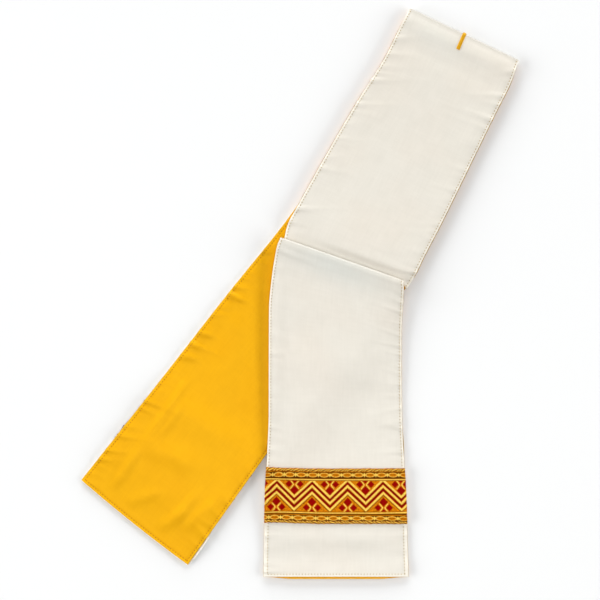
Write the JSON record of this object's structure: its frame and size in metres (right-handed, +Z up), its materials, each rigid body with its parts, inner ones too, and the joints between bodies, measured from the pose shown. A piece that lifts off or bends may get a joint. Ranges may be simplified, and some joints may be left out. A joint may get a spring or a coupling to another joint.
{
  "type": "maniple",
  "caption": "Lined liturgical maniple laid flat: a long band folded at its middle, cream face up on one half, golden lining on the other, with a woven galloon across the end.",
  "frame": {"origin": "middle of the plan outline, on the surface the cloth lies on", "axes": "+Z up off the surface, +Y from the hem with the visible galloon towards the middle fold, +X to the right seen from above"},
  "size_m": [0.3682, 0.4784, 0.0117],
  "materials": {
    "face_satin": "cream satin with a low sheen",
    "lining_satin": "golden yellow satin with a low sheen",
    "galloon": "woven gold and dark red braid",
    "gold_thread": "satin stitch in gold thread"
  },
  "bodies": {
    "root": {"face": "face_satin", "lining": "lining_satin", "galloon_front": "galloon", "galloon_back": "galloon", "centre_mark": "gold_thread"}
  },
  "joints": []
}
